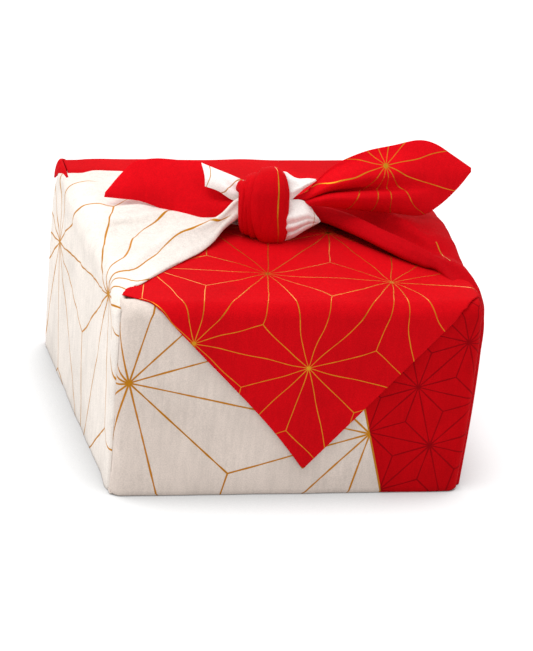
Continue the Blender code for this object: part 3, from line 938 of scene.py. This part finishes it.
def edge_rows(sign, first, lip_rise):
    """The sections of a side's soft top edge, at EDGE_TURNS. first is its strand's first row."""
    face = face_section(-87.5, HALF_DEPTH - BACK_TUCK - 1.0, 1.0)
    strand = strand_section(first, lip_rise)
    if sign > 0:
        strand[:5] = [*RIGHT_UNDER, (first.crest - 4.0, 0.8 * first.crest_up)]
    tucks, hugs = (LEFT_TUCKS, LEFT_HUGS) if sign < 0 else (RIGHT_TUCKS, RIGHT_HUGS)
    rows = []
    for a, mix in EDGE_TURNS:
        row = []
        for (y0, h0), (y1, h1), tuck, hug, sink in zip(face, strand, tucks, hugs, SINKS):
            y = between(y0, y1, mix**hug) - tuck * math.sin(2 * a)
            h = between(h0, h1, mix) - 1.3 * tuck * math.sqrt(math.sin(a)) - sink * math.sin(a)
            reach = side_reach(sign, y, SHOULDER) - RIDGE
            square = 1 - 0.6 * smoothstep(y, 66, 84) * (sign < 0)
            out = (back_swell(sign, y, 1.0) + RIDGE + h) * max(math.cos(a), 0.0) ** square
            rise = (RIDGE + h) * math.sin(a) ** square
            row.append((sign * (reach + out), y, SHOULDER + rise))
        rows.append(row)
    return rows


SIDE_STREAKS = table(
    Wave,
    (0.42, 900, 47, 0.05),
    (0.30, -700, 26, 0.35),
    (0.16, 500, 14.5, 0.6),
    (0.09, -400, 8.3, 0.15),
)

# How far the left strand's cloth is drawn askew, at its front and at its back: the shift of its
# print to a length of its run, from where its run starts and over how much of it.
STRAND_LEAN = (0.22, -0.50)
STRAND_START = 104.0
STRAND_RUN = 36.0

# Where a side's run over the top starts, the run at which its rows get closer, and the steps of
# its rows up the face, round the edge and along the strand.
RIDGE_X = 92.5
NEAR_EDGE = 99.0
ROW_STEPS = (1.7, 0.45, 1.2)


def side_panel(name, sign, strand, lip_rise, material):
    """A side face, its soft top edge and the gathered strand that it runs into, as one sheet."""
    nets = face_rows(sign) + edge_rows(sign, strand[0], lip_rise)
    nets += [[(row.x, y, HEIGHT + h) for y, h in strand_section(row, lip_rise)] for row in strand]
    runs = [*FACE_LEVELS, *(SHOULDER + RIDGE * a for a, _ in EDGE_TURNS)]
    start = runs[-1]
    runs += [start + RIDGE_X - abs(row.x) for row in strand]
    bounds = (runs[0], NEAR_EDGE, start + 6.0, runs[-1])
    parts = [np.arange(*part) for part in zip(bounds[:-1], bounds[1:], ROW_STEPS)]
    along = np.concatenate([*parts, [runs[-1]]])
    rows = spline(runs, nets, along)
    grid = spline(SECTION_KNOTS, rows.transpose(1, 0, 2), COLUMNS).transpose(1, 0, 2)
    flat_y = grid[..., 1].copy()
    begun = np.searchsorted(along, start + 2.0)
    flat_y[begun:] = flat_y[begun]
    flat_up = np.broadcast_to(along[:, None], flat_y.shape)
    normal = grid_normals(grid)
    outward = np.sign(sign * normal[5, 60, 0])
    size = 0.35 + 0.9 * smoothstep(along, 40, 118) - 0.35 * smoothstep(along, 175, 205)
    size = size * (1.0 if sign < 0 else 0.45)
    edges = np.clip(np.minimum(COLUMNS, 1 - COLUMNS) / 0.06, 0, 1)
    fold = ripple(SIDE_STREAKS, flat_up, flat_y)
    grid = grid + normal * outward * (fold * size[:, None] * edges)[..., None]
    lean = between(*STRAND_LEAN, smoothstep(flat_y, -58, -12))
    lean = lean * np.clip(flat_up - STRAND_START, 0.0, STRAND_RUN) * (sign < 0)
    flat = np.stack([flat_y + lean, flat_up], axis=-1)
    piece = cloth_piece(name, grid, flat, material, flip=sign > 0)


# The hem at the back of the left face: y, the crease's height, the hem's place, how far in towards
# the middle its section stands, and how far back.
CORNER_HEMS = table(
    Hem,
    (74, 114.6, -101.4, 114.4, 0, 0),
    (77, 115.2, -102.2, 114.2, 0, 0),
    (81, 115.7, -103, 113.6, 0, 0),
    (85.5, 116, -103.6, 112.6, 0, 0),
    (90, 116.1, -103.9, 109.6, 0, 0),
    (93, 116.1, -104, 106.8, 0, 0),
    (96, 115.9, -104, 105, 0, 0.6),
    (98, 115.4, -103.8, 104.8, 0.6, 1),
    (98.7, 114.8, -103.4, 105, 3, 1.2),
)
CREASE_X = -101.1


def corner_fold():
    """The far corner's cloth folded over the top of the left face at the back, behind a crease."""
    nets = []
    for row in CORNER_HEMS:
        reach = row.hem_x - CREASE_X
        fall = row.hem_up - row.crease_up
        section = [
            (CREASE_X + 1.8, row.crease_up - 3.2),
            (CREASE_X + 0.8, row.crease_up - 2.0),
            (CREASE_X, row.crease_up),
            (CREASE_X + 0.45 * reach, row.crease_up + 0.10 * fall),
            (CREASE_X + 0.78 * reach, row.crease_up + 0.34 * fall),
            (CREASE_X + 0.95 * reach, row.crease_up + 0.66 * fall),
            (row.hem_x, row.hem_up),
        ]
        nets.append([(x + row.inward, row.y + row.back, z) for x, z in section])
    rows = smooth_table(nets, 40)
    grid = smooth_table(rows.transpose(1, 0, 2), 36).transpose(1, 0, 2)
    piece = cloth_piece("far_corner_fold", grid, grid[..., 1:], plain_red)


# ---- free ends

# The box's top, from which the tables' heights start.
LIFT = np.array([0.0, 0.0, HEIGHT])


def leaf_piece(name, leaves, material, lay, opens, columns=72, rows=110):
    """A free end from the knot to its tip. Near the knot its cloth is laid in long folds, which
    open towards the tip. opens is the share of the way at which they have opened."""
    stations = smooth_table(leaves, rows)
    share = np.linspace(0, 1, columns)
    lay = [Lay(0, 0, 0), *lay, Lay(1, 1, 0)]
    lays = spline([row.cloth for row in lay], [row[1:] for row in lay], share)
    share = share[None, :, None]
    low = stations[:, None, 0:3] + LIFT
    high = stations[:, None, 3:6] + LIFT
    belly = stations[:, None, 6:7]
    way = np.linspace(0, 1, rows)[:, None, None]
    gather = 1 - smoothstep(way, 0.25 * opens, opens)
    spot = share + gather * (lays[None, :, 0:1] - share)
    wide = np.linalg.norm(high - low, axis=-1, keepdims=True)
    forward = belly * np.sin(math.pi * spot) + wide * gather * lays[None, :, 1:2]
    grid = between(low, high, spot)
    grid = grid + np.concatenate([0 * forward, -forward, 0.35 * forward], axis=-1)
    soft = ripple(TOP_RIPPLE, grid[..., 0], grid[..., 2])
    grid[..., 1] -= 0.8 * soft * np.sin(math.pi * share[..., 0])
    places = np.stack([grid[..., 0], (between(low, high, share) - LIFT)[..., 2]], axis=-1)
    piece = cloth_piece(name, grid, places, material, thick=0.6)


# ---- the knot

GATHERS = table(
    Wave,
    (0.010, 160, 8.4, 0.1),
    (0.007, -90, 4.6, 0.45),
    (0.005, 70, 2.9, 0.7),
)

# A band: its points round a section and along the run, the power that makes its section squarer
# than a circle, and the width of cloth that goes once round it.
BAND_SIDES = 56
BAND_STEPS = 70
BAND_POWER = 0.85
BAND_WIDTH = 60.0


def knot_piece(name, turns, material, slot, *creases):
    """A gathered band through a table of turns, with creases that run along it. Each crease is
    (place round the section, depth, width, drift along the run)."""
    stations = smooth_table(turns, BAND_STEPS)
    centre = stations[:, :3] + LIFT
    along = unit(np.gradient(centre, axis=0))
    wide = unit((1, 0, 0) - along * along[:, :1])
    thick = np.cross(along, wide)
    turn = np.linspace(0, 2 * math.pi, BAND_SIDES, endpoint=False)
    way = np.linspace(0, 1, BAND_STEPS)[:, None]
    scale = np.ones((BAND_STEPS, BAND_SIDES))
    for place, depth, width, drift in creases:
        gap = np.angle(np.exp(1j * (turn - 2 * math.pi * (place + drift * (way - 0.5)))))
        scale = scale - depth * np.exp(-((gap / (2 * math.pi * width)) ** 2))
    scale = scale + ripple(GATHERS, way * 40.0, turn * 8.0)
    cosine, sine = (np.sign(c) * np.abs(c) ** BAND_POWER for c in (np.cos(turn), np.sin(turn)))
    grid = (
        centre[:, None, :]
        + wide[:, None, :] * (stations[:, 3:4] * cosine * scale)[..., None]
        + thick[:, None, :] * (stations[:, 4:5] * sine * scale)[..., None]
    )
    round_run = np.broadcast_to(turn / (2 * math.pi) * BAND_WIDTH, scale.shape)
    run = np.broadcast_to(run_along(centre)[:, None], scale.shape)
    flat = np.stack([round_run, run], axis=-1)
    cloth_piece(name, grid, flat, material, round_grid=True, thick=0)


# ---- build


def cloth_base():
    """The middle of the cloth, flat under the box."""
    x = np.linspace(-98.0, 98.0, 60)
    y = np.linspace(-95.5, 95.5, 60)
    grid = np.stack([*np.meshgrid(x, y), np.full((60, 60), 0.75)], axis=-1)
    flat = grid[..., :2] + (0, -HALF_DEPTH)
    piece = cloth_piece("cloth_base", grid, flat, near_cotton, thick=0.3, flip=True)


def build():
    """Every piece of the wrap."""
    cloth_base()
    near_panel()
    far_panel()
    corner_fold()
    side_panel("left_corner", -1, LEFT_STRAND, (0.10, 0.46), side_cotton)
    side_panel("right_corner", 1, RIGHT_STRAND, (0.22, 0.74), right_cotton)
    leaf_piece("left_end", LEFT_TAIL, back_red, LEFT_LAY, 0.45)
    leaf_piece("left_end_face", FACE_SLIVER, sliver_cotton, LEFT_LAY, 0.9)
    leaf_piece("right_end", RIGHT_TAIL, tail_cotton, RIGHT_LAY, 0.80)
    knot_piece(
        "knot_band", BAND_RIGHT, band_cotton, "red_cotton",
        (0.10, 0.10, 0.018, 0.03), (0.30, 0.03, 0.03, -0.04), (0.22, 0.02, 0.02, 0.06),
    )
    knot_piece(
        "knot_band_left", BAND_LEFT, plain_red, "red_cotton",
        (0.38, 0.10, 0.02, 0.05), (0.45, 0.08, 0.015, -0.03),
    )
    knot_piece("knot_band_fold", BAND_FOLD, plain_red, "red_cotton", (0.3, 0.15, 0.03, 0.1))
    knot_piece(
        "knot_back_band", BACK_BAND, lobe_cotton, "white_cotton",
        (0.2, 0.08, 0.02, 0.05), (0.33, 0.06, 0.02, -0.1),
    )
    leaf_piece(
        "knot_upper_bight", UPPER_BIGHT, lobe_cotton, UPPER_LAY, 9.0,
        columns=48, rows=60,
    )
    leaf_piece(
        "knot_lower_bight", LOWER_BIGHT, lobe_cotton, LOWER_LAY, 9.0,
        columns=60, rows=60,
    )


# ---- camera, floor and light

# The photo's camera: degrees round to the left, up and of roll, its distance in metres from the
# place that it looks at, and its lens and shift in pixels.
VIEW = (14.5, 24.7, 5.9)
LOOKS_AT = (0.0, 0.0, 0.058)
STANDS_OFF = 2.26
LENS_PIXELS = 4000.0
SHIFT_PIXELS = (8.4, -3.1)
PHOTO_PIXELS = 651.0
SENSOR = 36.0


def add_camera():
    """The photograph's viewpoint: low from the front left, with a long lens and a small roll."""
    azimuth, elevation, roll = (math.radians(a) for a in VIEW)
    out = math.cos(elevation)
    back = Vector((-math.sin(azimuth) * out, -math.cos(azimuth) * out, math.sin(elevation)))
    level = Vector((math.cos(azimuth), -math.sin(azimuth), 0.0))
    right = level * math.cos(roll) + back.cross(level) * math.sin(roll)
    up = back.cross(right)
    data = bpy.data.cameras.new("camera")
    data.lens = LENS_PIXELS * SENSOR / PHOTO_PIXELS
    data.shift_x, data.shift_y = (shift / PHOTO_PIXELS for shift in SHIFT_PIXELS)
    data.clip_start, data.clip_end = 0.1, 50.0
    camera = add_object("camera", data)
    place = Vector(LOOKS_AT) + back * STANDS_OFF
    camera.matrix_world = Matrix.Translation(place) @ Matrix((right, up, back)).transposed().to_4x4()
    bpy.context.scene.camera = camera


FLOOR_SIDE = 12.0
FLOOR_LOOK = {
    "Base Color": (0.30, 0.30, 0.30, 1.0),
    "Emission Color": (1.0, 1.0, 1.0, 1.0),
    "Roughness": 1.0,
    "Specular IOR Level": 0.0,
}
FLOOR_GLOW = 0.78


def add_floor():
    """A pale floor that glows like the photo's background, but for a soft shade round the wrap."""
    mesh = bpy.data.meshes.new("floor")
    corners = [(x * FLOOR_SIDE, y * FLOOR_SIDE, 0) for x, y in ((-1, -1), (1, -1), (1, 1), (-1, 1))]
    mesh.from_pydata(corners, [], [(0, 1, 2, 3)])
    material = bpy.data.materials.new("floor")
    material.use_nodes = True
    shader = material.node_tree.nodes["Principled BSDF"]
    for key, value in FLOOR_LOOK.items():
        shader.inputs[key].default_value = value
    wires = Wires(material.node_tree)
    open_sky = wires.node("AmbientOcclusion", {"Distance": 0.055}, samples=12).outputs["AO"]
    shade = wires.math("POWER", wires.ramp(open_sky, 0.0, 0.95), 1.3)
    glow = wires.math("MULTIPLY", shade, FLOOR_GLOW)
    wires.tree.links.new(glow, shader.inputs["Emission Strength"])
    mesh.materials.append(material)
    add_object("floor", mesh)


HORIZON = (0.38, 0.35, 0.33)
ZENITH = (1.0, 1.0, 1.0)

# The lamps: their places, what they are aimed at, their sizes and their watts.
LAMPS = (
    ("key", (-1.35, -0.1, 2.4), (0, 0, 0.06), 2.6, 52.0),
    ("back", (0.7, 2.4, 1.25), (0, 0, 0.1), 1.8, 20.0),
    ("side", (2.3, -0.4, 0.8), (0, 0, 0.06), 1.2, 10.0),
)


def area_light(name, place, target, size, watts):
    """A round lamp at a place, aimed at a target."""
    data = bpy.data.lights.new(name, "AREA")
    data.shape = "DISK"
    data.size = size
    data.energy = watts
    light = add_object(name, data)
    light.location = place
    light.rotation_mode = "QUATERNION"
    aim = Vector(target) - Vector(place)
    light.rotation_quaternion = aim.to_track_quat("-Z", "Y")


def add_light():
    """A bright overcast dome, darker near the horizon, a wide soft key from above left, and weaker
    lamps from behind and from the right."""
    world = bpy.data.worlds.new("world")
    world.use_nodes = True
    wires = Wires(world.node_tree)
    where = wires.node("TexCoord").outputs["Generated"]
    share = wires.ramp(wires.parts(where)[2], 0.0, 0.8)
    colour = wires.mix(share, HORIZON, ZENITH)
    background = world.node_tree.nodes["Background"]
    world.node_tree.links.new(colour, background.inputs[0])
    background.inputs[1].default_value = 1.0
    bpy.context.scene.world = world
    for lamp in LAMPS:
        area_light(*lamp)
    bpy.context.scene.view_settings.view_transform = "Standard"


add_camera()
build()
add_floor()
add_light()
